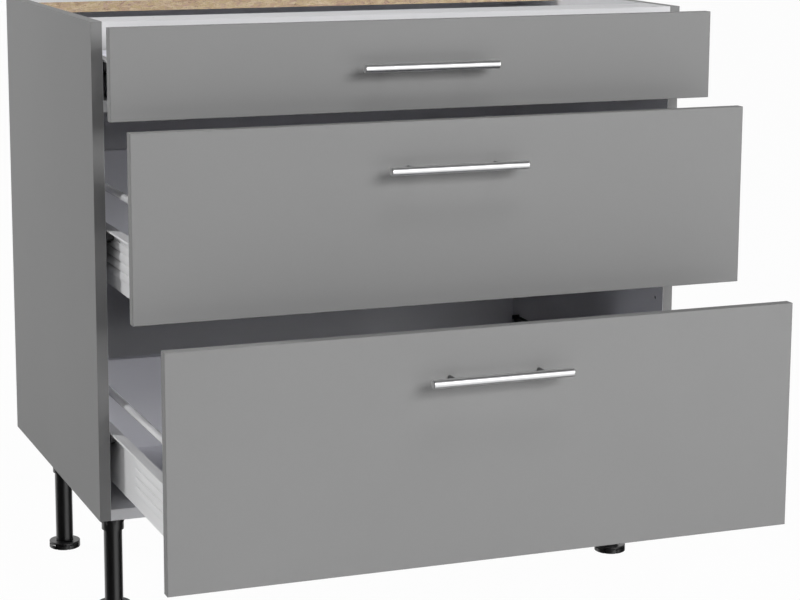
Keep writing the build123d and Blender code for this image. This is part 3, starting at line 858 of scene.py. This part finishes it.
# %% Heads and shanks on the points
along = cross_steps.node("FunctionNodeAlignRotationToVector", {"axis": "Z"},
                         {"Vector": read_mark(cross_steps, "facing", "FLOAT_VECTOR")})
girth = read_mark(cross_steps, "radius")
heads = copies(cross_steps, cross_given, head,
               Rotation=along, Scale=joined(cross_steps, girth, girth, 1.0))
shank = cross_steps.node("GeometryNodeMeshCylinder", None,
                         {"Vertices": shank_sides, "Depth": 1.0,
                          "Radius": cross_given.of("Shank radius")})
shank = moved(cross_steps, shank, 0.0, 0.0, -0.5)
tip_gap = 0.2 * mm                       # a shank ends this far from the tip of the CAD screw
length = read_mark(cross_steps, "length") - tip_gap
shanks = copies(cross_steps, cross_given, shank,
                Rotation=along, Scale=joined(cross_steps, 1.0, 1.0, length))
end_tree(cross_steps, cross_given,
         cross_steps.node("GeometryNodeJoinGeometry", None, {"Geometry": [heads, shanks]}))

# %% Put screws on every body
screw_sets = [("carcass", "leg_screws"), ("carcass", "runner_screws")]
screw_sets += [(f"drawer_{drawer}", f"drawer_{drawer}_screws") for drawer in drawers]
for body, node in screw_sets:
    places = [screw_of(points) for points in solids_of(node)]
    piece = run_tree(node + "_made", cross_steps, cross_keys, points_mesh(node + "_places", places), zinc)
    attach(piece, body)
    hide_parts(node)

# %% Cams
cam_places = []
for points in solids_of("cam_locks"):
    low, high, middle, _ = reach_of(points)
    cam_places.append((Vector((middle.x, middle.y, low.z)), Vector((0, 0, -1)), high.z - low.z,
                       (high.y - low.y) / 2))
cams = run_tree("cam_locks_made", cross_steps, cross_keys, points_mesh("cam_places", cam_places), zinc,
                Head_height=10 * mm, Dome=0.94, Slot_reach=0.7, Slot_width=0.22, Slot_depth=3.0 * mm,
                Shank_radius=5.0 * mm)
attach(cams, "carcass")
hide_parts("cam_locks")

# %% [markdown]
# ## Ribs on the legs' sockets
# A moulded leg socket is a plate with a collar, and thin ribs stiffen the corner between them.
# One rib is a small block whose outer lower corner is pulled up to make it a gusset. A ring of
# points carries the ribs round one collar, and the ring is copied to the four legs.

# %% A tree for ribs round a collar
rib_steps, rib_given, rib_keys = new_tree("collar_ribs", {
    "Ribs": 8, "Collar radius": 15.5 * mm, "Reach": 8.0 * mm, "Drop": 17.0 * mm, "Thickness": 1.6 * mm})
reach, drop = rib_given.of("Reach"), rib_given.of("Drop")
block = rib_steps.node("GeometryNodeMeshCube", None,
                       {"Size": joined(rib_steps, reach, rib_given.of("Thickness"), drop)})
position = rib_steps.node("GeometryNodeInputPosition")
here = rib_steps.node("ShaderNodeSeparateXYZ", None, {"Vector": position})
outer = (here > 0.0) * (here.of("Z") < 0.0)
slant = 0.88                             # how far up the outer corner is pulled, as a share of the drop
gusset = rib_steps.node("GeometryNodeSetPosition", None,
                        {"Geometry": block, "Offset": joined(rib_steps, 0.0, 0.0, outer * drop * slant)})
gusset = moved(rib_steps, gusset, reach * 0.5, 0.0, drop * -0.5)
ring = rib_steps.node("GeometryNodeMeshCircle", None,
                      {"Vertices": rib_given.of("Ribs"), "Radius": rib_given.of("Collar radius")})
outward = rib_steps.node("FunctionNodeAlignRotationToVector", {"axis": "X"}, {"Vector": position})
one_leg = copies(rib_steps, ring, gusset, Rotation=outward)
one_leg = rib_steps.node("GeometryNodeRealizeInstances", None, {"Geometry": one_leg})
end_tree(rib_steps, rib_given, copies(rib_steps, rib_given, one_leg))

# %% Ribs on the four sockets
plate_thickness = 3.5 * mm
into_plate = 0.3 * mm                    # the gussets start inside the plate, so no gap shows
plate_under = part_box("leg_sockets")[1].z - plate_thickness
leg_axes = {}
for foot in ("foot_front_left", "foot_front_right", "foot_rear_left", "foot_rear_right"):
    low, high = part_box(foot)
    leg_axes[foot] = ((low.x + high.x) / 2, (low.y + high.y) / 2)
    print(foot, "stands at", [round(place, 4) for place in leg_axes[foot]])
rib_mesh = bpy.data.meshes.new("leg_places")
rib_mesh.from_pydata([(*axis, plate_under + into_plate) for axis in leg_axes.values()], [], [])
rib_piece = run_tree("leg_socket_ribs", rib_steps, rib_keys, rib_mesh, black_plastic)
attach(rib_piece, "carcass")

# %% [markdown]
# ## Ribs pressed into the drawer sides
# Long ribs stiffen the steel sides of the drawers. The frame has them as low flat strips, and here
# each gets the rounded crest that a press leaves. A rib is a line with an oval section that
# shrinks to nothing at its rear end, and the tree puts one on every point. The crest stays just
# clear of the runner's flanges, which reach 13.2 mm from the side panel, so a drawer shuts freely.

# %% A tree for pressed ribs
oval_points = 18
crest_steps, crest_given, crest_keys = new_tree("pressed_ribs", {
    "Length": 244.0 * mm, "Half width": 6.0 * mm, "Half height": 1.18 * mm, "End": 9.0 * mm,
    "Points": 49})
line = crest_steps.node("GeometryNodeCurvePrimitiveLine", None,
                        {"End": joined(crest_steps, 0.0, crest_given.of("Length"), 0.0)})
line = crest_steps.node("GeometryNodeResampleCurve", None,
                        {"Curve": line, "Count": crest_given.of("Points")})
left_over = crest_given.of("Length") - crest_steps.node("GeometryNodeSplineParameter").of("Length")
shrink = 1 - (left_over / crest_given.of("End")).least(1.0)
swell = (1 - shrink * shrink).most(tiny).root()
line = crest_steps.node("GeometryNodeSetCurveRadius", None, {"Curve": line, "Radius": swell})
oval = crest_steps.node("GeometryNodeCurvePrimitiveCircle", {"mode": "RADIUS"},
                        {"Resolution": oval_points, "Radius": 1.0})
halves = joined(crest_steps, crest_given.of("Half height"), crest_given.of("Half width"), 1.0)
oval = crest_steps.node("GeometryNodeTransform", None, {"Geometry": oval, "Scale": halves})
crest = crest_steps.node("GeometryNodeCurveToMesh", None,
                         {"Curve": line, "Profile Curve": oval, "Fill Caps": True})
crest = crest_steps.node("GeometryNodeSetShadeSmooth", None, {"Geometry": crest})
end_tree(crest_steps, crest_given, copies(crest_steps, crest_given, crest))

# %% Ribs on the three drawers
rib_first, rib_pitch, rib_headroom = 24.5 * mm, 13.2 * mm, 10.0 * mm
rib_start = 0.3 * mm                     # steel side's front end to the start of its ribs
wall_gap = 14.5 * mm                     # side panel to the middle of a rib's section
for drawer in drawers:
    starts = []
    for hand, way in (("left", -1), ("right", 1)):
        low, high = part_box(f"drawer_{drawer}_side_{hand}")
        for rib in range(int((high.z - low.z - rib_first - rib_headroom) / rib_pitch) + 1):
            height = low.z + rib_first + rib * rib_pitch
            starts.append((way * (inner_face - wall_gap), low.y + rib_start, height))
    rib_places = bpy.data.meshes.new(f"drawer_{drawer}_rib_places")
    rib_places.from_pydata(starts, [], [])
    ribs_piece = run_tree(f"drawer_{drawer}_side_ribs", crest_steps, crest_keys, rib_places, white_steel)
    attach(ribs_piece, f"drawer_{drawer}")

# %% [markdown]
# ## Feet
# Each leg ends in a foot that screws in and out to level the cabinet. Its pad has a plain rim
# above, a groove, and a lower ring with eight notches for a spanner. It is built like a stack of
# rings: every ring has the same number of points, and the notched rings step inwards. The screw
# thread on the stem follows a rule, so a spiral with a small round section makes it.

# %% A tree for the thread
core_radius = 8.6 * mm                   # of the stem, under its thread
ridge_points = 6
thread_steps, thread_given, thread_keys = new_tree("stem_thread", {
    "Turns": 18.0, "Height": 56.0 * mm, "Core radius": core_radius, "Ridge": 0.85 * mm,
    "Steps per turn": 28})
spiral_radius = thread_given.of("Core radius")
spiral = thread_steps.node("GeometryNodeCurveSpiral", None,
                           {"Resolution": thread_given.of("Steps per turn"),
                            "Rotations": thread_given.of("Turns"), "Height": thread_given.of("Height"),
                            "Start Radius": spiral_radius, "End Radius": spiral_radius})
section = thread_steps.node("GeometryNodeCurvePrimitiveCircle", {"mode": "RADIUS"},
                            {"Resolution": ridge_points, "Radius": thread_given.of("Ridge")})
ridge = thread_steps.node("GeometryNodeCurveToMesh", None,
                          {"Curve": spiral, "Profile Curve": section, "Fill Caps": True})
end_tree(thread_steps, thread_given, copies(thread_steps, thread_given, ridge))

# %% A pad from a stack of rings
pad_radius = 24.0 * mm
notches = 8
notch_half_width, notch_depth = 1.5 * mm, 2.4 * mm
notch_floor = 0.98                       # share of a notch's width that its floor takes
rim_steps = 6                            # straight steps of the rim from one notch to the next
stem_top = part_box("foot_front_left")[1].z
pad_rings = [                            # height, radius, notched
    (0.0, 22.6 * mm, True), (0.9 * mm, pad_radius, True), (6.4 * mm, pad_radius, True),
    (7.2 * mm, 23.2 * mm, True), (7.2 * mm, 22.0 * mm, False), (8.0 * mm, 22.0 * mm, False),
    (8.3 * mm, 23.7 * mm, False), (8.8 * mm, pad_radius, False), (10.2 * mm, pad_radius, False),
    (10.8 * mm, 23.6 * mm, False), (11.0 * mm, 22.8 * mm, False), (11.0 * mm, 9.45 * mm, False),
    (11.6 * mm, core_radius, False), (stem_top - 1.2 * mm, core_radius, False),
    (stem_top, core_radius - 1.2 * mm, False)]
ring_angles = []                         # angle, in a notch
half = math.asin(notch_half_width / pad_radius)
spare = 2 * math.pi / notches - 2 * half
for notch in range(notches):
    middle = 2 * math.pi * notch / notches
    ring_angles += [(middle - half, False), (middle - half * notch_floor, True),
                    (middle + half * notch_floor, True), (middle + half, False)]
    ring_angles += [(middle + half + spare * step / rim_steps, False) for step in range(1, rim_steps)]
print("a pad has", len(pad_rings), "rings of", len(ring_angles), "points")


def foot_mesh(name, x, y):
    """Pad and stem as one closed mesh."""
    form = bmesh.new()
    rings = []
    for height, radius, notched in pad_rings:
        ring = []
        for angle, in_notch in ring_angles:
            r = min(radius, pad_radius - notch_depth) if notched and in_notch else radius
            ring.append(form.verts.new((x + r * math.cos(angle), y + r * math.sin(angle), height)))
        rings.append(ring)
    count = len(ring_angles)
    for below, above in zip(rings, rings[1:]):
        for k in range(count):
            form.faces.new((below[k], below[(k + 1) % count], above[(k + 1) % count], above[k]))
    form.faces.new(rings[-1])
    form.faces.new(list(reversed(rings[0])))
    bmesh.ops.recalc_face_normals(form, faces=form.faces)
    mesh = bpy.data.meshes.new(name)
    form.to_mesh(mesh)
    form.free()
    return mesh


# %% Four feet
def join_pieces(name, meshes, finish):
    """Several meshes as one object, with one finish."""
    form = bmesh.new()
    for mesh in meshes:
        form.from_mesh(mesh)
    whole = bpy.data.meshes.new(name)
    form.to_mesh(whole)
    form.free()
    one_finish(whole, finish)
    piece = bpy.data.objects.new(name, whole)
    scene.collection.objects.link(piece)
    return piece


thread_start = 13.0 * mm                 # height of the thread's lower end
for foot, (x, y) in leg_axes.items():
    start = bpy.data.meshes.new(foot + "_axis")
    start.from_pydata([(x, y, thread_start)], [], [])
    thread = run_tree(foot + "_thread", thread_steps, thread_keys, start, black_plastic)
    piece = join_pieces(foot + "_made", [foot_mesh(foot + "_pad", x, y), thread.data], black_plastic)
    bpy.data.objects.remove(thread)
    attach(piece, foot)
    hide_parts(foot)
